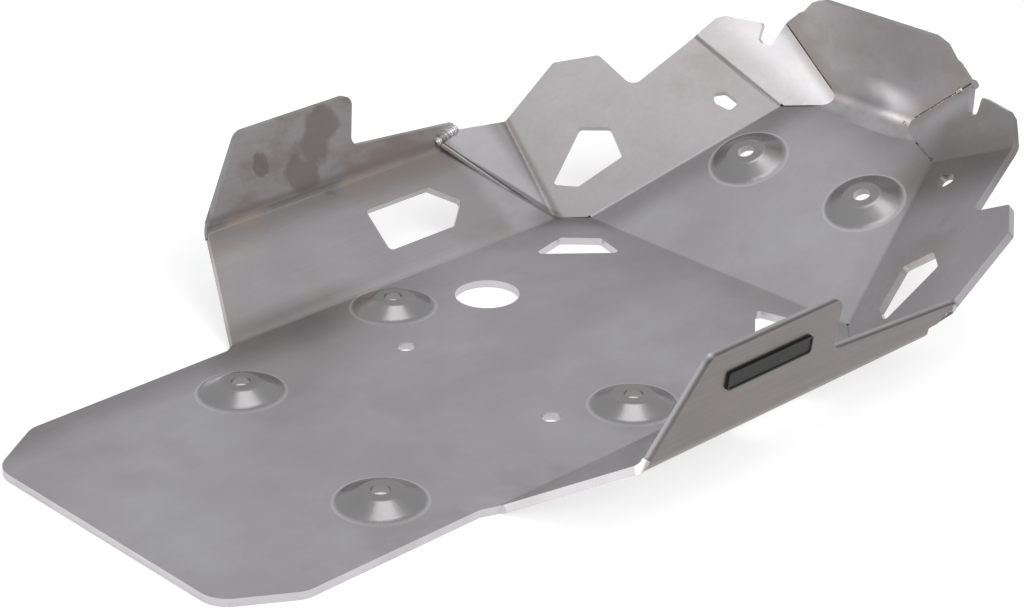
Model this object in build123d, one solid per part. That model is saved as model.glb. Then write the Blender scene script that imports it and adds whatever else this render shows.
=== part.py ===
from build123d import *
from math import atan2, cos, radians, sin, tan
import os

# An aluminium engine guard for a motorcycle: one cut and folded plate, seen as
# a tray that lies under the engine, with raised wings and a ramp at the front.
# Millimetres, X forward, Y left, Z up. The plate lies on Z = 0. Heights named
# below are measured from the inner face of the floor, so from Z = sheet.

sheet = 4.0
bend_radius = 6.0
nose_radius = 11.0
weld_radius = 2.6
weld_depth = 3.6
slim_weld_radius = 1.9
slim_weld_depth = 2.3
seam_gap = 0.4
corner_gap = 0.6

# Floor
rear_x = -285.0
rear_corner_x = -252.0
floor_half = 100.0
rear_half = 79.0
side_radius = 12.0
rear_radius = 16.0
ramp_x = 106.0
ramp_half = 90.5

# Wings and upright flanges, seen in a section across the guard
wing_root_y = 103.5
wing_top_y = 161.0
wing_top_z = 33.0
flange_top_y = 167.5
flange_top_z = 77.0

# Where the wing and the flange begin and end along the guard, side by side
left_stations = {
    "floor_end": -136.0, "root": -130.0, "wing": -98.5, "flange": -71.0,
    "step": 5.0, "step_low": 0.0, "front_low": 60.0, "front_high": 72.0,
}
right_stations = {
    "floor_end": -153.0, "root": -144.0, "wing": -115.5, "flange": -82.5,
    "step": 3.5, "step_low": 2.0, "front_low": 75.0, "front_high": 92.0,
}
wing_front_x = 93.0
step_low_z = 50.0
front_high_z = 43.2
flange_rear_radius = 8.0
flange_step_radius = 5.0

# Cut-outs
drain_x = 0.0
drain_y = 59.2
drain_radius = 16.5
small_hole_x = -69.5
small_hole_left_y = 43.0
small_hole_right_y = -59.0
small_hole_radius = 4.8
cut_corner_radius = 2.5
wing_window = [(-8.8, 142.7), (35.2, 142.7), (47.6, 130.1), (32.1, 118.7), (-13.1, 118.7)]
floor_window = [(51.0, 78.0), (75.6, 83.2), (90.5, 67.6), (85.0, 47.5)]

# Raised seats of the fixing bolts
seat_rim = 21.8
seat_top = 10.0
seat_height = 6.0
seat_bolt = 4.6
seat_margin = 0.2
floor_seats = [(-158.5, 61.0), (-44.5, 81.0), (-179.5, -64.0), (-33.0, -77.0)]
ramp_seat_x = 175.2
ramp_seat_half = 40.5

# Ramp and nose
ramp_rise = 22.8
nose_x = 228.0
nose_top_z = 106.6
nose_seam_z = 87.3
nose_edge = [(54.4, 95.6, 1.0), (51.8, 96.6, 3.0), (45.6, 103.8, 3.0), (38.0, nose_top_z, 3.0)]

# Cheek: the side flange folded up from the ramp, in its own flat coordinates,
# along the fold from the floor corner and across it
cheek_fold = 27.6
cheek_end_x = 213.8
cheek_end_y = 53.4
cheek_root = (-17.0, 10.6)
cheek_flap_top = (-7.7, 74.9)
cheek_outline = [(33.9, 91.3, 3.0), (57.5, 81.5, 3.0), (62.4, 54.6, 6.0)]
cheek_tip = (108.5, 61.7)
cheek_window = [(24.5, 49.5), (38.5, 40.1), (34.5, 21.6), (4.2, 19.4), (-7.3, 28.4)]
cheek_slot = [(96.4, 27.0), (103.3, 23.6), (105.6, 14.2), (98.6, 12.6), (94.4, 20.8)]

# Brow: the flange folded from the cheek and welded to the ramp and the nose
brow_fold = 33.6
brow_outline = [
    (1.1, 6.0, 2.0), (3.4, 15.2, 3.0), (7.2, 19.6, 3.0), (27.4, 29.6, 2.0),
    (30.4, 21.3, 0.8), (33.2, 20.5, 0.8), (38.7, 23.2, 1.0),
]

# Maker's plate on the right flange
badge_length = 55.0
badge_height = 9.2
badge_thick = 1.0
badge_rim = 0.9
badge_rim_high = 0.4
badge_corner = 1.6
badge_rear_x = -70.8
badge_low_z = 55.4


def vec(*xyz):
    return Vector(*xyz)


def face_of(corners, radius=0.0):
    """A flat face; a corner may carry its own rounding radius."""
    face = Face(Wire.make_polygon([vec(c[0], c[1]) for c in corners]))
    for corner in corners:
        turn = corner[2] if len(corner) > 2 else radius
        if turn > 0:
            near = face.vertices().sort_by_distance(vec(corner[0], corner[1]))[0]
            face = face.fillet_2d(turn, [near])
    if face.normal_at().Z < 0:
        face = -face
    return face


def inner_plane(a, b, c):
    """The plane of a facet's inner face, its X axis from a to b."""
    a, b, c = vec(*a), vec(*b), vec(*c)
    along = (b - a).normalized()
    normal = along.cross(c - a).normalized()
    if normal.Z < 0:
        normal = -normal
    return Plane(origin=a, x_dir=along, z_dir=normal)


def fold(base, start, end, angle):
    """The facet folded up from base about the line from start to end."""
    axis = Axis(start, end - start)
    turned = base.z_dir.rotate(Axis((0, 0, 0), axis.direction), angle)
    if base.z_dir.cross(turned).dot(axis.direction) < 0:
        raise ValueError("fold the other way")
    return Plane(origin=start, x_dir=axis.direction, z_dir=turned)


def plate(plane, corners, radius=0.0):
    """A piece of sheet whose inner face lies in the plane."""
    return extrude(plane * face_of(corners, radius), amount=-sheet)


def hole(plane, corners, radius=0.0):
    face = plane.offset(sheet) * face_of(corners, radius)
    return extrude(face, amount=-3 * sheet)


def round_hole(plane, x, y, radius):
    return plane * Pos(x, y, -sheet / 2) * Cylinder(radius, 4 * sheet)


def keep_side(solid, point, inward):
    """What is left of a solid on the side of a plane that inward points to."""
    return split(solid, bisect_by=Plane(origin=point, z_dir=inward), keep=Keep.TOP)


def inward(plane, start, end, inside):
    """The direction in a facet, square to its edge, that points to inside."""
    across = plane.z_dir.cross((end - start).normalized())
    return across if across.dot(inside - start) > 0 else -across


def set_back(radius, lower, upper):
    half = lower.z_dir.get_angle(upper.z_dir) / 2
    return radius * tan(radians(half))


def trim(solid, plane, start, end, inside, gap):
    way = inward(plane, start, end, inside)
    return keep_side(solid, start + way * gap, way)


def bend(lower, upper, start, end, radius, slant_start=0.0, slant_end=0.0):
    """The curved strip between two facets that meet in the line start-end."""
    along = (end - start).normalized()
    middle = (lower.z_dir + upper.z_dir).normalized()
    angle = lower.z_dir.get_angle(upper.z_dir)
    centre = start + middle * (radius / cos(radians(angle / 2)))
    spare = 2 * sheet
    length = (end - start).length + 2 * spare
    section = Plane(origin=centre - along * spare, x_dir=-lower.z_dir, z_dir=along)
    sense = 1 if section.y_dir.dot(-upper.z_dir) > 0 else -1
    turn = radians(angle) * sense

    def at(reach, share):
        return (reach * cos(turn * share), reach * sin(turn * share))

    far = radius + sheet
    edges = [
        Line(at(radius, 0), at(far, 0)),
        ThreePointArc(at(far, 0), at(far, 0.5), at(far, 1)),
        Line(at(far, 1), at(radius, 1)),
        ThreePointArc(at(radius, 1), at(radius, 0.5), at(radius, 0)),
    ]
    face = section * make_face(Wire([e for line in edges for e in line.edges()]))
    strip = extrude(face, amount=length, dir=along)
    across = middle.cross(along)
    if across.dot(upper.z_dir) > 0:
        across = -across
    for point, slant, way in ((start, slant_start, 1), (end, slant_end, -1)):
        line = (across + along * slant).normalized()
        cut = line.cross(middle).normalized()
        if cut.dot(along) * way < 0:
            cut = -cut
        strip = keep_side(strip, point, cut)
    return strip


def weld(start, end, lower, upper, radius=weld_radius, depth=weld_depth):
    """A round bead that fills the outer side of a seam."""
    middle = (lower.z_dir + upper.z_dir).normalized()
    along = (end - start).normalized()
    origin = start - middle * depth
    frame = Plane(origin=origin, z_dir=along)
    return frame * Cylinder(radius, (end - start).length, align=(Align.CENTER, Align.CENTER, Align.MIN))


def bolt_seat(plane, x, y):
    """A pressed seat, seat_height above the inner face, with its bolt hole."""
    slope = atan2(seat_height, seat_rim - seat_top)
    shift = sheet * tan(slope / 2)
    section = Plane.XZ * face_of([
        (seat_bolt, seat_height), (seat_top, seat_height, 5.0), (seat_rim, 0.0),
        (seat_rim + seat_margin, 0.0), (seat_rim + seat_margin, -sheet), (seat_rim - shift, -sheet),
        (seat_top - shift, seat_height - sheet), (seat_bolt, seat_height - sheet),
    ])
    return plane * Pos(x, y) * revolve(section, Axis.Z)


def seated(solid, plane, x, y):
    opened = solid - round_hole(plane, x, y, seat_rim + seat_margin)
    return opened + bolt_seat(plane, x, y)


def meet(first, second, third):
    """The point where three facets meet."""
    n1, n2, n3 = first.z_dir, second.z_dir, third.z_dir
    d1, d2, d3 = n1.dot(first.origin), n2.dot(second.origin), n3.dot(third.origin)
    total = n2.cross(n3) * d1 + n3.cross(n1) * d2 + n1.cross(n2) * d3
    return total * (1 / n1.dot(n2.cross(n3)))


# The planes of the facets, for the left side
floor = Plane.XY
ramp_far_z = (nose_x - ramp_x) * tan(radians(ramp_rise))
ramp = Plane(
    origin=(ramp_x, 0, 0), x_dir=(0, -1, 0),
    z_dir=(-sin(radians(ramp_rise)), 0, cos(radians(ramp_rise))),
)
nose = Plane(origin=(nose_x, 0, ramp_far_z), x_dir=(0, -1, 0), z_dir=(-1, 0, 0))
wing = inner_plane((0, wing_root_y, 0), (1, wing_root_y, 0), (0, wing_top_y, wing_top_z))
flange = inner_plane(
    (0, wing_top_y, wing_top_z), (1, wing_top_y, wing_top_z), (0, flange_top_y, flange_top_z)
)
cheek_low = vec(ramp_x, ramp_half, 0)
cheek_high = vec(cheek_end_x, cheek_end_y, (cheek_end_x - ramp_x) * tan(radians(ramp_rise)))
cheek = fold(ramp, cheek_low, cheek_high, cheek_fold)
cheek_tip_at = cheek.from_local_coords(vec(*cheek_tip))
brow = fold(cheek, cheek_tip_at, cheek_high, brow_fold)
nose_foot = meet(brow, ramp, nose)
cheek_root_at = cheek.from_local_coords(vec(*cheek_root))
flap_top_at = cheek.from_local_coords(vec(*cheek_flap_top))


def point_on(plane, x=None, y=None, z=None, inside=None):
    """The point of a plane above x, y, or on it at x, z."""
    n, d = plane.z_dir, plane.z_dir.dot(plane.origin)
    if z is None:
        return vec(x, y, (d - n.X * x - n.Y * y) / n.Z)
    if y is None:
        return vec(x, (d - n.X * x - n.Z * z) / n.Y, z)
    return vec((d - n.Y * y - n.Z * z) / n.X, y, z)


def local(plane, *points):
    """Flat coordinates of points of a facet, each with its rounding radius."""
    flat = []
    for point in points:
        radius = 0.0
        if isinstance(point, tuple):
            point, radius = point
        spot = plane.to_local_coords(point)
        flat.append((spot.X, spot.Y, radius))
    return flat


def wing_side(at):
    """Wing, upright flange and their bends on one side."""
    root = [vec(at["root"], wing_root_y, 0), vec(wing_front_x, wing_root_y, 0)]
    top = [vec(at["wing"], wing_top_y, wing_top_z), vec(at["front_low"], wing_top_y, wing_top_z)]
    rear = point_on(flange, x=at["flange"], z=flange_top_z)
    step = point_on(flange, x=at["step"], z=flange_top_z)
    low = point_on(flange, x=at["step_low"], z=step_low_z)
    front = point_on(flange, x=at["front_high"], z=front_high_z)
    panel = plate(wing, local(wing, root[0], root[1], top[1], top[0]))
    window = [(point_on(wing, x=x, y=y), cut_corner_radius) for x, y in wing_window]
    panel -= hole(wing, local(wing, *window))
    middle = (root[0] + top[1]) * 0.5
    root_gap = set_back(bend_radius, floor, wing)
    top_gap = set_back(bend_radius, wing, flange)
    panel = trim(panel, wing, root[0], root[1], middle, root_gap)
    panel = trim(panel, wing, top[0], top[1], middle, top_gap)
    panel = trim(panel, wing, root[1], top[1], middle, seam_gap)
    upright = plate(flange, local(
        flange, top[0], top[1], front, (low, flange_step_radius), (step, flange_step_radius),
        (rear, flange_rear_radius),
    ))
    upright = trim(upright, flange, top[0], top[1], low, top_gap)
    run = (wing.to_local_coords(top[0]) - wing.to_local_coords(root[0]))
    rear_slant = run.X / run.Y
    run = (wing.to_local_coords(top[1]) - wing.to_local_coords(root[1]))
    front_slant = run.X / run.Y
    fold_low = bend(floor, wing, root[0], root[1], bend_radius, rear_slant / 2, front_slant / 2)
    fold_top = bend(wing, flange, top[0], top[1], bend_radius, rear_slant, front_slant)
    return [panel, upright, fold_low, fold_top], top[1], front


def cheek_side(at, foot, crest):
    """Cheek, brow, corner flap and their bends and seams on one side."""
    outline = [cheek_root, (0.0, 0.0), ((cheek_high - cheek_low).length, 0.0), cheek_tip]
    outline += cheek_outline[::-1] + [cheek_flap_top]
    panel = plate(cheek, outline)
    panel -= hole(cheek, cheek_window, cut_corner_radius)
    panel -= hole(cheek, cheek_slot, cut_corner_radius)
    inner = cheek.from_local_coords(vec(*cheek_window[1]))
    ramp_gap = set_back(bend_radius, ramp, cheek)
    brow_gap = set_back(bend_radius, cheek, brow)
    panel = trim(panel, cheek, cheek_low, cheek_high, inner, ramp_gap)
    panel = trim(panel, cheek, cheek_high, cheek_tip_at, inner, brow_gap)
    brow_flat = [(0.0, 0.0)] + brow_outline
    brow_flat += local(brow, meet_edge(), nose_foot, cheek_high)
    lid = plate(brow, brow_flat)
    lid = trim(lid, brow, cheek_high, cheek_tip_at, nose_foot, brow_gap)
    lid = trim(lid, brow, cheek_high, nose_foot, cheek_tip_at, seam_gap)
    lid = trim(lid, brow, nose_foot, meet_edge(), cheek_tip_at, seam_gap)
    panel = trim(panel, cheek, cheek_low, cheek_root_at, inner, seam_gap)
    parts = [panel, lid]
    parts.append(bend(ramp, cheek, cheek_low, cheek_high, bend_radius))
    parts.append(bend(cheek, brow, cheek_high, cheek_tip_at, bend_radius))
    parts += corner_flap(foot, crest)
    parts.append(weld(cheek_high, nose_foot, ramp, brow))
    parts.append(weld(nose_foot, meet_edge(), brow, nose))
    parts.append(weld(cheek_low, cheek_root_at, floor, cheek, slim_weld_radius, slim_weld_depth))
    return parts


def meet_edge():
    """The upper end of the seam between brow and nose."""
    return point_on(brow, x=nose_x, z=nose_seam_z)


def corner_flap(foot, crest):
    """The lower rear corner of the cheek, folded down on to the wing's front edge."""
    flap = inner_plane(flap_top_at, cheek_root_at, (foot + crest) * 0.5)
    foot_on = point_on(flap, x=foot.X, y=foot.Y)
    crest_on = point_on(flap, x=crest.X, y=crest.Y)
    piece = plate(flap, local(flap, flap_top_at, cheek_root_at, foot_on, crest_on))
    gap = set_back(bend_radius, flap, cheek)
    piece = trim(piece, flap, cheek_root_at, flap_top_at, foot_on, gap)
    piece = trim(piece, flap, cheek_root_at, foot_on, flap_top_at, seam_gap)
    strip = bend(flap, cheek, cheek_root_at, flap_top_at, bend_radius)
    seam = weld(cheek_root_at, foot_on, flap, wing, slim_weld_radius, slim_weld_depth)
    knob = weld(foot_on, crest_on, flap, flange, weld_radius, 0.0)
    return [piece, strip, seam, knob]


def floor_piece():
    flat = [(ramp_x, -ramp_half)]
    flat += [(wing_front_x, -wing_root_y), (right_stations["root"], -wing_root_y)]
    flat += [(right_stations["floor_end"], -floor_half)]
    flat += [(rear_corner_x, -floor_half, side_radius), (rear_x, -rear_half, rear_radius)]
    flat += [(rear_x, rear_half, rear_radius), (rear_corner_x, floor_half, side_radius)]
    flat += [(left_stations["floor_end"], floor_half)]
    flat += [(left_stations["root"], wing_root_y), (wing_front_x, wing_root_y)]
    flat += [(ramp_x, ramp_half)]
    piece = plate(floor, flat)
    gap = set_back(bend_radius, floor, wing)
    strip = 2 * bend_radius
    for side, at in ((1, left_stations), (-1, right_stations)):
        middle = ((at["root"] + wing_front_x) / 2, side * (wing_root_y - gap + strip / 2), -sheet / 2)
        piece -= Pos(*middle) * Box(wing_front_x - at["root"], strip, 3 * sheet)
    ramp_gap = set_back(bend_radius, floor, ramp)
    piece = keep_side(piece, vec(ramp_x - ramp_gap, 0, 0), vec(-1, 0, 0))
    for turn in (lambda point: point, mirrored):
        piece = trim(piece, floor, turn(cheek_low), turn(cheek_root_at), vec(0, 0, 0), seam_gap)
    piece -= round_hole(floor, drain_x, drain_y, drain_radius)
    for y in (small_hole_left_y, small_hole_right_y):
        piece -= round_hole(floor, small_hole_x, y, small_hole_radius)
    for side in (1, -1):
        piece -= hole(floor, [(x, side * y) for x, y in floor_window], cut_corner_radius)
    for x, y in floor_seats:
        piece = seated(piece, floor, x, y)
    return piece


def ramp_piece():
    corners = [cheek_low, cheek_high, nose_foot]
    left = local(ramp, *corners)
    right = [(-x, y, r) for x, y, r in left][::-1]
    piece = plate(ramp, left + right)
    middle = vec(ramp_x, 0, 0) * 0.5 + nose.origin * 0.5
    gap = set_back(bend_radius, ramp, cheek)
    piece = trim(piece, ramp, cheek_low, cheek_high, middle, gap)
    piece = trim(piece, ramp, mirrored(cheek_low), mirrored(cheek_high), middle, gap)
    for turn in (lambda point: point, mirrored):
        piece = trim(piece, ramp, turn(cheek_high), turn(nose_foot), middle, seam_gap)
    low = set_back(bend_radius, floor, ramp)
    high = set_back(nose_radius, ramp, nose)
    piece = trim(piece, ramp, cheek_low, mirrored(cheek_low), middle, low)
    piece = trim(piece, ramp, nose_foot, mirrored(nose_foot), middle, high)
    for side in (1, -1):
        spot = ramp.to_local_coords(point_on(ramp, x=ramp_seat_x, y=side * ramp_seat_half))
        piece = seated(piece, ramp, spot.X, spot.Y)
    return piece


def mirrored(point):
    return vec(point.X, -point.Y, point.Z)


def nose_piece():
    foot = nose_foot.Z - nose.origin.Z
    left = [(-nose_foot.Y, foot)]
    left += [(-meet_edge().Y, meet_edge().Z - nose.origin.Z)]
    left += [(-y, z - nose.origin.Z, radius) for y, z, radius in nose_edge]
    right = [(-c[0],) + tuple(c[1:]) for c in left][::-1]
    piece = plate(nose, left + right)
    gap = set_back(nose_radius, ramp, nose)
    top = vec(nose_x, 0, nose_top_z)
    for turn in (lambda point: point, mirrored):
        piece = trim(piece, nose, turn(nose_foot), turn(meet_edge()), top, seam_gap)
    return trim(piece, nose, nose_foot, mirrored(nose_foot), top, gap)


def cross_bend(lower, upper, corner, radius):
    """A bend right across the guard, stopped just short of its two corners."""
    end = vec(corner.X, corner.Y - corner_gap, corner.Z)
    return bend(lower, upper, end, mirrored(end), radius)


def ground(solid):
    """Ground flush with the floor's underside, where a bead or a bend hangs below it."""
    if solid.bounding_box().min.Z >= -sheet:
        return solid
    return keep_side(solid, vec(0, 0, -sheet), vec(0, 0, 1))


def flip(solids):
    return [mirror(solid, about=Plane.XZ) for solid in solids]


def guard():
    left, foot, crest = wing_side(left_stations)
    left += cheek_side(left_stations, foot, crest)
    right, foot, crest = wing_side(right_stations)
    right += cheek_side(right_stations, foot, crest)
    pieces = [ground(piece) for piece in left + flip(right)]
    pieces += [ramp_piece(), nose_piece()]
    pieces += [cross_bend(floor, ramp, cheek_low, bend_radius)]
    pieces += [cross_bend(ramp, nose, nose_foot, nose_radius)]
    body = floor_piece()
    for piece in pieces:
        body += piece
    return Pos(0, 0, sheet) * body


def badge():
    """A small plain plate with a raised rim, seated on the right flange's outer face."""
    outer = flange.offset(-sheet)
    low = point_on(outer, x=badge_rear_x, z=badge_low_z)
    high = point_on(outer, x=badge_rear_x + badge_length, z=badge_low_z + badge_height)
    middle = (low + high) * 0.5
    seat = Plane(origin=middle, x_dir=(1, 0, 0), z_dir=-flange.z_dir)
    blank = extrude(
        seat * RectangleRounded(badge_length, badge_height, badge_corner),
        amount=badge_thick + badge_rim_high,
    )
    pocket = extrude(
        seat.offset(badge_thick) * RectangleRounded(
            badge_length - 2 * badge_rim, badge_height - 2 * badge_rim, badge_corner - badge_rim / 2
        ),
        amount=sheet,
    )
    return Pos(0, 0, sheet) * mirror(blank - pocket, about=Plane.XZ)


os.makedirs("parts", exist_ok=True)
export_step(guard(), "parts/guard_plate.step")
export_step(badge(), "parts/badge_plate.step")
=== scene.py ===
"""The dressed engine guard: a folded and welded aluminium plate with its black badge."""

import math

import bmesh
import bpy
from mathutils import Matrix, Vector
from mathutils.bvhtree import BVHTree


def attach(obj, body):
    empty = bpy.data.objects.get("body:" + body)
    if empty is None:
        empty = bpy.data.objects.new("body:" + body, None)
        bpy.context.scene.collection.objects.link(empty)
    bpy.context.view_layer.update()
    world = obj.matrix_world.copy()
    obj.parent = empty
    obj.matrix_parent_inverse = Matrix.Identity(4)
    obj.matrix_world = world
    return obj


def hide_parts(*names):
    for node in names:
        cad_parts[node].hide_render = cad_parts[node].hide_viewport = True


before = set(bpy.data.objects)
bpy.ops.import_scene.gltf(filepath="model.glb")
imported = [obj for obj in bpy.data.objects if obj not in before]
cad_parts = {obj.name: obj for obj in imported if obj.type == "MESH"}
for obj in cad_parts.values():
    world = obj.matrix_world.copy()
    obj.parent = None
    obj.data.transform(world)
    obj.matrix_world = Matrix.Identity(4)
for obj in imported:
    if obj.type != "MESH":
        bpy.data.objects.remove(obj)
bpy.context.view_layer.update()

# Places on the guard, repeated from its source: metres, in the guard's own frame
SEATS = [
    (-0.1585, 0.061, 0.004), (-0.1795, -0.064, 0.004), (-0.0445, 0.081, 0.004),
    (-0.033, -0.077, 0.004), (0.1752, 0.0405, 0.0331), (0.1752, -0.0405, 0.0331),
]
SEAT_RADIUS = 0.0218
WING_ROOT_Y = 0.1035
WING_TIP = (0.060, 0.161, 0.037)
FLANGE_Y = 0.161
FLANGE_LOW_Z = 0.037
FLANGE_LEAN = 0.1477
CHEEK_ROOT = (0.0932, 0.1047, 0.004)
CHEEK_HIGH = (0.2138, 0.0534, 0.0493)
FLAP_TOP = (0.1043, 0.1561, 0.0409)
NOSE_FOOT = (0.228, 0.0203, 0.0553)
NOSE_SHOULDER = (0.228, 0.0586, 0.0873)
NOSE_BEND = 0.011
RAMP_RISE = 22.8
SHEET = 0.004

# Inner faces of the left side: the way each one faces, and its distance from the origin
WING_NORMAL, WING_OFFSET = (0.0, -0.4977, 0.8673), -0.04804
FLANGE_NORMAL, FLANGE_OFFSET = (0.0, -0.98926, 0.14611), -0.15386
CHEEK_NORMAL, CHEEK_OFFSET = (-0.475, -0.4401, 0.7618), -0.08713
BROW_NORMAL, BROW_OFFSET = (-0.876, -0.309, 0.370), -0.18555

# Old drops on the left flange: place and radius
FLANGE_BLOTS = [
    ((-0.0177, 0.1659, 0.0701), 0.011),
    ((-0.0254, 0.1644, 0.0599), 0.012),
    ((-0.0332, 0.1628, 0.0491), 0.012),
    ((-0.0593, 0.1644, 0.0602), 0.0045),
    ((-0.0185, 0.1601, 0.0309), 0.007),
]

# Dressing of the CAD copies: lengths in metres, angles in degrees
SAME_POINT = 2e-6
FLAT_WITHIN = 0.4
SMOOTH_BELOW = 28
CORNER_ABOVE = 50
SHORTEST_LINE = 0.0006
EDGE_BREAK = 0.00022
EDGE_STEPS = 2
DEEPEST_SHEET = 0.0052
RAY_START = 0.00002

# Welds: the inward direction between the two sheets of a seam, and the bead's depth
INTO_BROW_FOOT, BROW_FOOT_DEPTH = (-0.66, -0.15, 0.73), 0.0037
INTO_NOSE_SEAM, NOSE_SEAM_DEPTH = (-0.95, -0.15, 0.16), 0.0034
WING_END_RUNS = [
    [(0.0591, 0.1615, 0.0401), (0.0721, 0.162, 0.0438)],
    [(0.075, -0.1615, 0.0401), (0.0905, -0.162, 0.0432)],
]

# Colours of the sheet and the marks on it
SHEET_DARK, SHEET_PALE = (0.55, 0.53, 0.545), (0.615, 0.60, 0.61)
SHEET_PATCH = (0.515, 0.495, 0.50)
# the grey of the painted shade on the flats, folds, crease and corner that look dark
PAINTED_SHADE_GREY = (0.20, 0.185, 0.18)
HEAT_BROWN = (0.33, 0.28, 0.25)
DROP_BROWN = (0.22, 0.18, 0.175)
# the dark of the painted shadow in the gap along the wing's seam
PAINTED_SEAM_SHADOW = (0.17, 0.16, 0.155)
# the grey of the painted shade in the bolt seats
PAINTED_SEAT_SHADE = (0.35, 0.34, 0.335)
# the pale of the painted highlight round the bolt seats' rims
PAINTED_RIM_HIGHLIGHT = (0.84, 0.83, 0.82)
CUT_DARK, CUT_PALE = (0.60, 0.60, 0.60), (0.68, 0.68, 0.675)
WELD_BRIGHT, WELD_STRAW = (0.72, 0.71, 0.70), (0.47, 0.42, 0.37)
BADGE_DARK, BADGE_WORN = (0.006, 0.006, 0.007), (0.013, 0.013, 0.014)
FLOOR_DARK, FLOOR_PALE = (0.61, 0.61, 0.61), (0.64, 0.64, 0.64)

# Soft lights: place, aim, width, height and watts
LAMPS = {
    "overhead": ((0.15, 0.12, 1.75), (0, 0, 0), 0.85, 0.85, 2.5),
    "key": ((0.42, -0.85, 1.7), (0.05, 0, 0), 1.0, 0.8, 5.2),
    "rear_panel": ((-1.9, 0.3, 0.42), (0.15, 0.05, 0.06), 1.9, 0.9, 12.3),
    "side_fill": ((-0.2, -2.4, 1.7), (0, 0, 0), 1.6, 1.2, 18.0),
}
ROOM_LIGHT, ROOM_COLOUR = 0.56, (0.97, 0.98, 1.0, 1.0)
FLOOR_HALF = 7.0

# Camera, fitted to the photograph: metres, degrees and millimetres of lens
CAMERA_AT = (-0.9036, -0.9140, 0.6380)
CAMERA_AZIMUTH = 46.58
CAMERA_DOWN = 25.73
CAMERA_ROLL = -0.14
CAMERA_LENS = 101.55


def mirrored(point):
    return (point[0], -point[1], point[2])


def other_side(points):
    return [mirrored(point) for point in points]


def lowered(point, normal, depth):
    return tuple(Vector(point) - Vector(normal).normalized() * depth)


def in_scene(name, data):
    """A new object in the scene that shows the data."""
    made = bpy.data.objects.new(name, data)
    bpy.context.scene.collection.objects.link(made)
    return made


class Wire:
    """A shader value; Python's arithmetic on it adds Math nodes."""

    def __init__(self, tree, socket):
        self.tree = tree
        self.socket = socket

    def node(self, kind, settings=None, out=0, **inputs):
        """Adds any node: its settings first, then the values or links of its sockets.

        A socket is named by its title, with _ for a space, or by s and its number.
        """
        made = self.tree.nodes.new(kind)
        for name, value in (settings or {}).items():
            setattr(made, name, value)
        for name, value in inputs.items():
            numbered = name[0] == "s" and name[1:].isdigit()
            socket = made.inputs[int(name[1:]) if numbered else name.replace("_", " ")]
            if isinstance(value, Wire):
                self.tree.links.new(value.socket, socket)
            else:
                socket.default_value = value
        return Wire(self.tree, made.outputs[out])

    def maths(self, operation, a, b=0.0):
        return self.node("ShaderNodeMath", {"operation": operation}, s0=a, s1=b)

    def vector(self, operation, other=(0, 0, 0), out=0):
        """Vector Math on this value; a single number comes from output 1."""
        settings = {"operation": operation}
        return self.node("ShaderNodeVectorMath", settings, out, s0=self, s1=other)

    def __add__(self, other):
        return self.maths("ADD", self, other)

    __radd__ = __add__

    def __sub__(self, other):
        return self.maths("SUBTRACT", self, other)

    def __rsub__(self, other):
        return self.maths("SUBTRACT", other, self)

    def __mul__(self, other):
        return self.maths("MULTIPLY", self, other)

    __rmul__ = __mul__

    def either(self, other):
        return self.maths("MAXIMUM", self, other)

    def least(self, other):
        return self.maths("MINIMUM", self, other)

    def size(self):
        return self.maths("ABSOLUTE", self)

    def rise(self, low, high, start=0.0, end=1.0):
        """Goes smoothly from start to end as the value goes from low to high."""
        return self.node(
            "ShaderNodeMapRange", {"interpolation_type": "SMOOTHSTEP"},
            Value=self, From_Min=low, From_Max=high, To_Min=start, To_Max=end,
        )

    def fall(self, low, high):
        """Goes smoothly from 1 to 0 as the value goes from low to high."""
        return self.rise(low, high, 1.0, 0.0)

    def between(self, dark, light):
        """A colour from dark to light as the value goes from 0 to 1."""
        dark, light = [end if isinstance(end, Wire) else (*end, 1.0) for end in (dark, light)]
        return self.node("ShaderNodeMix", {"data_type": "RGBA"}, out=2, s0=self, s6=dark, s7=light)

    def noise(self, scale, stretch=(1, 1, 1), detail=4.0, rough=0.55, at=(0, 0, 0)):
        """Cloudy noise on the object's own coordinates, stretched along an axis."""
        placed = self.node("ShaderNodeMapping", Vector=self, Scale=stretch, Location=at)
        return placed.node(
            "ShaderNodeTexNoise", Vector=placed, Scale=scale, Detail=detail, Roughness=rough
        )

    def away(self, point):
        """The distance from a point."""
        return self.vector("DISTANCE", point, out=1)

    def near(self, point, low, high):
        """1 at a point, falling to 0 between the two distances."""
        return self.away(point).fall(low, high)

    def facet(self, normal, offset, low=0.002, high=0.008):
        """1 on the inner face of one flat of the plate, fading over its bends."""
        return (self.vector("DOT_PRODUCT", normal, out=1) - offset).size().fall(low, high)

    def line(self, start, end, low, high):
        """1 on a straight line, falling to 0 between the two distances from it."""
        along = tuple((Vector(end) - Vector(start)).normalized())
        across = self.vector("SUBTRACT", start).vector("CROSS_PRODUCT", along)
        return across.vector("LENGTH", out=1).fall(low, high)

    def blot(self, point, radius, ragged, fray=0.022):
        """A drop of old dirt with a ragged outline, 1 inside it."""
        frayed = self.away(point) + ragged * fray - fray / 2
        return frayed.fall(radius * 0.65, radius * 1.15)

    def parts(self):
        """The x, y and z of a vector."""
        split = self.tree.nodes.new("ShaderNodeSeparateXYZ")
        self.tree.links.new(self.socket, split.inputs[0])
        return [Wire(self.tree, split.outputs[i]) for i in range(3)]


def any_of(masks):
    """1 wherever one of the masks is 1."""
    joined = masks[0]
    for mask in masks[1:]:
        joined = joined.either(mask)
    return joined


def new_material(name):
    """A material, its shader, and the object's own coordinates."""
    material = bpy.data.materials.new(name)
    material.use_nodes = True
    tree = material.node_tree
    place = tree.nodes.new("ShaderNodeTexCoord")
    return material, tree.nodes["Principled BSDF"], Wire(tree, place.outputs["Object"])


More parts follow.
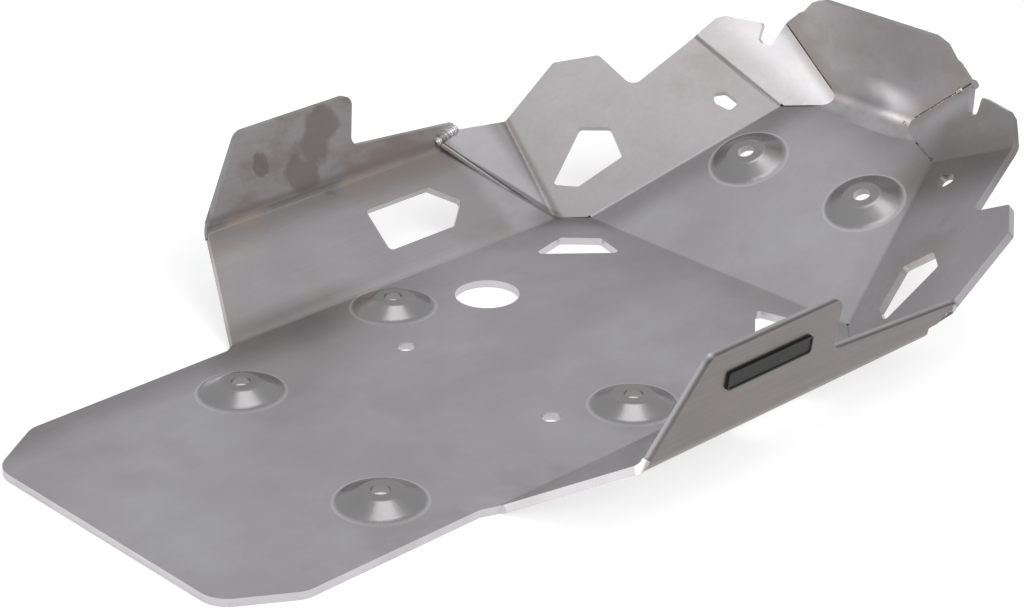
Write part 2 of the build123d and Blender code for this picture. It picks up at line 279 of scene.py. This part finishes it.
def drive(shader, **values):
    """Links a changing value to the shader's socket, or sets a constant on it."""
    for name, value in values.items():
        socket = shader.inputs[name.replace("_", " ")]
        if isinstance(value, Wire):
            value.tree.links.new(value.socket, socket)
        else:
            socket.default_value = value


def bumped(height, strength, distance, **under):
    return height.node(
        "ShaderNodeBump", Height=height, Strength=strength, Distance=distance, **under
    )


def rolled_aluminium():
    """Mill-finish sheet: cool grey, cloudy, stained brown where it was handled and welded; painted
    shade darkens the flats that look dark, a painted shadow runs along the wing's seam, the bolt
    seats carry painted shade and their rims a painted highlight.
    """
    material, shader, at = new_material("rolled_aluminium")
    x, y, z = at.parts()

    # The sheet's own clouds and rolling marks
    cloud = at.noise(9.0, stretch=(1, 1.4, 1.4), detail=5.0, rough=0.6)
    patch = at.noise(26.0, detail=3.0, rough=0.5, at=(0.3, 0.1, 0))
    rolling = at.noise(60.0, stretch=(0.35, 9, 9), detail=3.0, rough=0.6)

    # Places on the guard
    behind = x.fall(0.058, 0.07)
    flange = y.rise(0.142, 0.158) * behind
    flap = x.rise(0.058, 0.068) * x.fall(0.088, 0.098) * y.rise(0.106, 0.116)
    nose = x.rise(0.219, 0.226)
    root = (y.size() - WING_ROOT_Y).size().fall(0.0, 0.03)
    right_front = x.rise(0.17, 0.2) * y.fall(-0.06, -0.03) * (1.0 - nose)
    right_outside = (0.0 - y) - z * FLANGE_LEAN - (FLANGE_Y - FLANGE_LOW_Z * FLANGE_LEAN)
    right_outside = right_outside.rise(0.001, 0.003)
    corner = y.rise(0.07, 0.098) * x.fall(-0.08, -0.02) * z.fall(0.005, 0.012)
    left_wing = at.facet(WING_NORMAL, WING_OFFSET, 0.0025, 0.006) * y.rise(0.1, 0.11) * behind
    crease = at.facet(WING_NORMAL, WING_OFFSET, 0.0008, 0.0018)
    crease = crease * at.facet(FLANGE_NORMAL, FLANGE_OFFSET, 0.0008, 0.0018)
    cheek = at.facet(CHEEK_NORMAL, CHEEK_OFFSET, 0.003, 0.012) * (1.0 - flap)
    right_cheek = at.facet(mirrored(CHEEK_NORMAL), CHEEK_OFFSET)
    cheek_fold = at.line(CHEEK_ROOT, FLAP_TOP, 0.001, 0.0045)
    brows = any_of([
        at.facet(way, BROW_OFFSET, 0.0004, 0.005) for way in (BROW_NORMAL, mirrored(BROW_NORMAL))
    ])
    nose_seam = brows * (x - NOSE_FOOT[0]).size().fall(0.0004, 0.0035)
    # painted shadow: a dark line along the wing's seam, where the gap between the wing and the
    # flap lies in shade
    wing_seam_shadow = at.line(CHEEK_ROOT, WING_TIP, 0.0018, 0.0036) * y.rise(0.1, 0.106)
    welds = any_of([
        at.near(CHEEK_ROOT, 0.002, 0.016),
        at.near(NOSE_FOOT, 0.003, 0.014),
        at.near(mirrored(NOSE_FOOT), 0.004, 0.02),
    ])
    seats = any_of([at.near(seat, SEAT_RADIUS - 0.002, SEAT_RADIUS + 0.0002) for seat in SEATS])
    # painted highlight: a thin pale ring just outside each bolt seat
    rim_highlights = any_of([at.near(seat, SEAT_RADIUS + 0.0001, SEAT_RADIUS + 0.0009) for seat in SEATS])
    rim_highlights = (rim_highlights - seats).either(0.0)

    # Stains: where hands and heat have been, in ragged clouds, and along the nose's seam
    handled = flange * 0.9 + nose * (1.0 - brows) * 0.5 + root * 0.25 + 0.14
    handled = handled + welds * 0.45 + right_front * 0.35
    stain_field = at.noise(17.0, stretch=(1, 1, 1.6), detail=5.0, rough=0.62, at=(0.52, 0.2, 0.1))
    stain = (stain_field.rise(0.44, 0.62) * handled + nose_seam * 0.55).least(1.0)
    ragged = at.noise(70.0, stretch=(1, 1, 0.7), detail=3.0, rough=0.6)
    blots = any_of([at.blot(place, radius, ragged) for place, radius in FLANGE_BLOTS])

    # Painted shade and painted dark reflections: the flats, folds, crease and corner that look
    # darker than the bright flats next to them are darkened in colour, with a random rolling
    # mottle on top
    uneven = flange * 0.42 + right_outside * 0.98 + right_front * 0.56
    uneven = uneven + nose * z.rise(0.066, 0.096) * 0.26 + cheek * 0.42 + right_cheek * 0.14
    uneven = uneven + left_wing * 0.32 + crease * 0.5 + corner * 0.48 + cheek_fold * 0.4
    uneven = (uneven + (rolling - 0.5) * 0.16).either(0.0).least(1.0)

    base = cloud.rise(0.35, 0.68).between(SHEET_DARK, SHEET_PALE)
    base = (patch.rise(0.5, 0.72) * 0.35).between(base, SHEET_PATCH)
    # painted shade: the darkened flats, folds, crease and corner take the painted shade grey
    base = uneven.between(base, PAINTED_SHADE_GREY)
    base = (stain * 0.8).between(base, HEAT_BROWN)
    base = (blots * 0.62).between(base, DROP_BROWN)
    # painted shadow along the wing's seam
    base = (wing_seam_shadow * 0.7).between(base, PAINTED_SEAM_SHADOW)
    # painted shade: the bolt seats darkened in colour
    base = (seats * 0.75).between(base, PAINTED_SEAT_SHADE)
    # painted highlight round the seats' rims
    base = (rim_highlights * 0.5).between(base, PAINTED_RIM_HIGHLIGHT)
    rough = cloud.rise(0.3, 0.7) * 0.07 + 0.30 + crease * 0.15 + stain * 0.12
    rough = rough - seats * 0.09 + (rolling - 0.5) * 0.05

    # Fine grain, and the soft swelling pressed into the foot of the nose
    grain = rolling * 0.5 + at.noise(900.0, detail=2.0) * 0.35 + patch * 0.4
    fine = bumped(grain, 0.22, 0.00012)
    middle = (y + 0.008).size().fall(0.0, 0.027)
    swell = z.fall(0.063, 0.0785) * nose * middle
    drive(
        shader, Base_Color=base, Metallic=1.0, Roughness=rough,
        Normal=bumped(swell, 1.0, 0.0022, Normal=fine),
    )
    return material


def cut_edge():
    """The bright face that the cutting beam leaves, finely ribbed across the sheet."""
    material, shader, at = new_material("cut_edge")
    ribs = at.noise(420.0, stretch=(1, 1, 0.12), detail=2.0, rough=0.5)
    uneven = at.noise(60.0, detail=3.0)
    drive(
        shader, Base_Color=uneven.rise(0.35, 0.7).between(CUT_DARK, CUT_PALE), Metallic=0.3,
        Roughness=ribs * 0.16 + 0.30, Normal=bumped(ribs, 0.35, 0.00012),
    )
    return material


def weld_metal():
    """Bright rippled bead with a straw and grey heat tint."""
    material, shader, at = new_material("weld_metal")
    tint = at.noise(130.0, detail=3.0)
    drive(
        shader, Base_Color=tint.rise(0.4, 0.65).between(WELD_BRIGHT, WELD_STRAW), Metallic=1.0,
        Roughness=tint * 0.2 + 0.2, Normal=bumped(at.noise(700.0), 0.3, 0.0001),
    )
    return material


def black_badge():
    """Satin black coated plate, a little worn."""
    material, shader, at = new_material("black_badge")
    speck = at.noise(1500.0, detail=2.0)
    haze = at.noise(90.0, detail=3.0)
    drive(
        shader, Base_Color=haze.rise(0.35, 0.7).between(BADGE_DARK, BADGE_WORN), Metallic=0.0,
        Roughness=haze * 0.15 + 0.34, Specular_IOR_Level=0.3,
        Normal=bumped(speck, 0.25, 0.00006),
    )
    return material


def pale_floor():
    """Matt studio floor, lit a little from within so that it stays white."""
    material, shader, at = new_material("pale_floor")
    drive(
        shader, Base_Color=at.noise(1.5, detail=2.0).between(FLOOR_DARK, FLOOR_PALE),
        Metallic=0.0, Roughness=0.8, Specular_IOR_Level=0.1,
        Emission_Color=(1, 1, 1, 1), Emission_Strength=0.55,
    )
    return material


def finished(obj, keep_name):
    """The object's evaluated shape as a plain mesh on a new object."""
    graph = bpy.context.evaluated_depsgraph_get()
    mesh = bpy.data.meshes.new_from_object(obj.evaluated_get(graph), depsgraph=graph)
    bpy.data.objects.remove(obj, do_unlink=True)
    return in_scene(keep_name, mesh)


def is_cut(tree, face):
    """A face belongs to a cut if the metal behind it is deeper than the sheet."""
    start = face.calc_center_median() - face.normal * RAY_START
    depth = tree.ray_cast(start, -face.normal)[3]
    return depth is None or depth > DEEPEST_SHEET


def dressed_plate(name, node, skin, edge):
    """A copy of a CAD node with broken edges and smooth bends, and bright cuts if it has any."""
    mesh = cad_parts[node].data.copy()
    shape = bmesh.new()
    shape.from_mesh(mesh)
    bmesh.ops.remove_doubles(shape, verts=shape.verts, dist=SAME_POINT)
    bmesh.ops.dissolve_limit(
        shape, angle_limit=math.radians(FLAT_WITHIN), verts=shape.verts, edges=shape.edges
    )
    shape.normal_update()
    tree = BVHTree.FromBMesh(shape)
    for face in shape.faces:
        face.smooth = True
        face.material_index = 1 if edge and is_cut(tree, face) else 0
    weights = shape.edges.layers.float.new("bevel_weight_edge")
    for line in shape.edges:
        if len(line.link_faces) == 2:
            turn = line.calc_face_angle(0.0)
            line.smooth = turn < math.radians(SMOOTH_BELOW)
            around = [near.calc_length() for corner in line.verts for near in corner.link_edges]
            if turn > math.radians(CORNER_ABOVE) and min(around) > SHORTEST_LINE:
                line[weights] = 1.0
    shape.to_mesh(mesh)
    shape.free()
    mesh.materials.clear()
    mesh.materials.append(skin)
    if edge:
        mesh.materials.append(edge)
    made = in_scene(name + "_rough", mesh)
    bevel = made.modifiers.new("broken_edges", "BEVEL")
    bevel.width = EDGE_BREAK
    bevel.segments = EDGE_STEPS
    bevel.limit_method = "WEIGHT"
    bevel.use_clamp_overlap = True
    bevel.harden_normals = False
    weight = made.modifiers.new("flat_faces", "WEIGHTED_NORMAL")
    weight.keep_sharp = True
    weight.weight = 80
    return finished(made, name)


def bead_tree():
    """Weld ripples along a line: flattened drops, evenly spaced, each a little different."""
    tree = bpy.data.node_groups.new("weld_ripples", "GeometryNodeTree")
    face = tree.interface
    face.new_socket("Path", in_out="INPUT", socket_type="NodeSocketGeometry")
    for title, value in (("Ripple spacing", 0.0015), ("Bead radius", 0.0028), ("Flatness", 0.62)):
        face.new_socket(title, in_out="INPUT", socket_type="NodeSocketFloat").default_value = value
    face.new_socket("Metal", in_out="INPUT", socket_type="NodeSocketMaterial")
    face.new_socket("Bead", in_out="OUTPUT", socket_type="NodeSocketGeometry")

    def add(kind, inputs=(), **settings):
        """Adds a node: its settings first, then the values of its sockets."""
        node = tree.nodes.new(kind)
        for key, value in settings.items():
            setattr(node, key, value)
        for key, value in inputs:
            node.inputs[key].default_value = value
        return node

    begin, end = add("NodeGroupInput"), add("NodeGroupOutput")
    curve = add("GeometryNodeMeshToCurve")
    points = add("GeometryNodeCurveToPoints", mode="LENGTH")
    drop = add("GeometryNodeMeshIcoSphere", [("Subdivisions", 2), ("Radius", 1.0)])
    place = add("GeometryNodeInstanceOnPoints")
    jitter = add("FunctionNodeRandomValue", [(2, 0.88), (3, 1.06), ("Seed", 7)], data_type="FLOAT")
    flat = add("ShaderNodeMath", operation="MULTIPLY")
    wide = add("ShaderNodeMath", operation="MULTIPLY")
    size = add("ShaderNodeCombineXYZ")
    real = add("GeometryNodeRealizeInstances")
    paint = add("GeometryNodeSetMaterial")
    smooth = add("GeometryNodeSetShadeSmooth")
    for source, out, target, into in (
        (begin, "Path", curve, 0),
        (curve, 0, points, 0),
        (begin, "Ripple spacing", points, "Length"),
        (points, 0, place, "Points"),
        (points, "Rotation", place, "Rotation"),
        (drop, 0, place, "Instance"),
        (begin, "Bead radius", wide, 0),
        (jitter, 1, wide, 1),
        (wide, 0, flat, 0),
        (begin, "Flatness", flat, 1),
        (wide, 0, size, 0),
        (wide, 0, size, 1),
        (flat, 0, size, 2),
        (size, 0, place, "Scale"),
        (place, 0, smooth, 0),
        (smooth, 0, real, 0),
        (real, 0, paint, 0),
        (begin, "Metal", paint, "Material"),
        (paint, 0, end, 0),
    ):
        tree.links.new(source.outputs[out], target.inputs[into])
    return tree


def bead(name, runs, tree, metal, radius, spacing):
    """One weld piece: the ripples of every run in the list."""
    mesh = bpy.data.meshes.new(name + "_line")
    corners, lines = [], []
    for run in runs:
        first = len(corners)
        corners += [Vector(point) for point in run]
        lines += [(first + i, first + i + 1) for i in range(len(run) - 1)]
    mesh.from_pydata(corners, lines, [])
    line = in_scene(name + "_line", mesh)
    ripples = line.modifiers.new("ripples", "NODES")
    ripples.node_group = tree
    values = {"Ripple spacing": spacing, "Bead radius": radius, "Metal": metal}
    for item in tree.interface.items_tree:
        if item.in_out == "INPUT" and item.name in values:
            ripples[item.identifier] = values[item.name]
    made = finished(line, name)
    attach(made, "root")


def everything(shape):
    return shape.verts[:] + shape.edges[:] + shape.faces[:]


def nose_bend_ends(name, skin):
    """The two ends of the nose bend, run on past the corners up to the brows."""
    steps = 14
    overlap, run_on = 0.0007, 0.02
    over_bend, under_brow = 0.00004, 0.0006
    rise = math.radians(RAMP_RISE)
    turn = math.acos(math.sin(rise))
    lean = math.atan2(math.cos(rise), -math.sin(rise) - 1.0)
    reach = NOSE_BEND / math.cos(turn / 2)
    centre = (NOSE_FOOT[0] + reach * math.cos(lean), NOSE_FOOT[2] + reach * math.sin(lean))
    shape = bmesh.new()
    rings = []
    for y in (NOSE_FOOT[1] - overlap, NOSE_FOOT[1] + run_on):
        ring = []
        for radius, order in ((NOSE_BEND + over_bend, 1), (NOSE_BEND + SHEET, -1)):
            for i in range(steps + 1)[::order]:
                a = -turn * (1 - i / steps)
                ring.append(shape.verts.new((
                    centre[0] + radius * math.cos(a), y, centre[1] + radius * math.sin(a)
                )))
        rings.append(ring)
    near, far = rings
    for i in range(len(near)):
        j = (i + 1) % len(near)
        shape.faces.new((near[i], near[j], far[j], far[i]))
    shape.faces.new(near)
    shape.faces.new(far[::-1])
    normal = Vector(BROW_NORMAL)
    cut = bmesh.ops.bisect_plane(
        shape, geom=everything(shape), dist=1e-7,
        plane_co=Vector(NOSE_FOOT) - normal * under_brow, plane_no=normal, clear_inner=True,
    )
    rim = [item for item in cut["geom_cut"] if isinstance(item, bmesh.types.BMEdge)]
    bmesh.ops.holes_fill(shape, edges=rim)
    copy = bmesh.ops.duplicate(shape, geom=everything(shape))
    for item in copy["geom"]:
        if isinstance(item, bmesh.types.BMVert):
            item.co.y = -item.co.y
    bmesh.ops.recalc_face_normals(shape, faces=shape.faces)
    for face in shape.faces:
        face.smooth = True
    for line in shape.edges:
        line.smooth = line.calc_face_angle(0.0) < math.radians(SMOOTH_BELOW)
    mesh = bpy.data.meshes.new(name)
    shape.to_mesh(mesh)
    shape.free()
    mesh.materials.append(skin)
    return in_scene(name, mesh)


def softbox(name, at, towards, width, height, power):
    light = bpy.data.lights.new(name, "AREA")
    light.shape = "RECTANGLE"
    light.size = width
    light.size_y = height
    light.energy = power
    lamp = in_scene(name, light)
    lamp.location = at
    lamp.rotation_mode = "QUATERNION"
    lamp.rotation_quaternion = (Vector(towards) - Vector(at)).to_track_quat("-Z", "Y")


def studio():
    """Pale floor, soft lights and a dim even room."""
    world = bpy.data.worlds.new("studio")
    world.use_nodes = True
    back = world.node_tree.nodes["Background"]
    back.inputs["Color"].default_value = ROOM_COLOUR
    back.inputs["Strength"].default_value = ROOM_LIGHT
    bpy.context.scene.world = world
    for name, settings in LAMPS.items():
        softbox(name, *settings)
    mesh = bpy.data.meshes.new("floor")
    corners = [(-1, -1), (1, -1), (1, 1), (-1, 1)]
    mesh.from_pydata([(x * FLOOR_HALF, y * FLOOR_HALF, 0) for x, y in corners], [], [(0, 1, 2, 3)])
    mesh.materials.append(pale_floor())
    in_scene("floor", mesh)


def camera():
    data = bpy.data.cameras.new("camera")
    data.sensor_width = 36.0
    data.lens = CAMERA_LENS
    data.clip_start = 0.05
    data.clip_end = 50.0
    eye = in_scene("camera", data)
    turn, down = math.radians(CAMERA_AZIMUTH), math.radians(CAMERA_DOWN)
    ahead = Vector((
        math.cos(turn) * math.cos(down), math.sin(turn) * math.cos(down), -math.sin(down)
    ))
    look = ahead.to_track_quat("-Z", "Y").to_matrix()
    eye.matrix_world = Matrix.Translation(CAMERA_AT) @ (
        look @ Matrix.Rotation(math.radians(CAMERA_ROLL), 3, "Z")
    ).to_4x4()
    bpy.context.scene.camera = eye


skin, edge, metal = rolled_aluminium(), cut_edge(), weld_metal()

plate = dressed_plate("folded_plate", "guard_plate", skin, edge)
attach(plate, "root")
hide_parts("guard_plate")

badge = dressed_plate("rimmed_badge", "badge_plate", black_badge(), None)
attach(badge, "root")
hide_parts("badge_plate")

ends = nose_bend_ends("nose_bend_ends", skin)
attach(ends, "root")

ripples = bead_tree()
brow_foot_run = [
    lowered(point, INTO_BROW_FOOT, BROW_FOOT_DEPTH) for point in (CHEEK_HIGH, NOSE_FOOT)
]
nose_seam_run = [
    lowered(point, INTO_NOSE_SEAM, NOSE_SEAM_DEPTH) for point in (NOSE_FOOT, NOSE_SHOULDER)
]
outer_runs = [
    brow_foot_run, nose_seam_run, other_side(brow_foot_run), other_side(nose_seam_run)
]
bead("outer_welds", outer_runs, ripples, metal, radius=0.0028, spacing=0.0015)
bead("wing_end_welds", WING_END_RUNS, ripples, metal, radius=0.0029, spacing=0.0013)

# Where the right side's nose seam starts and ends, the bead comes through to the inside
foot, shoulder = Vector(NOSE_FOOT), Vector(NOSE_SHOULDER)
up_seam = (shoulder - foot).normalized()
corner_runs = [
    other_side([shoulder - up_seam * 0.003, shoulder - up_seam * 0.0006]),
    other_side([foot - up_seam * 0.0005, foot + up_seam * 0.004]),
]
bead("corner_welds", corner_runs, ripples, metal, radius=0.0018, spacing=0.0012)

studio()
camera()
bpy.context.scene.view_settings.view_transform = "Standard"
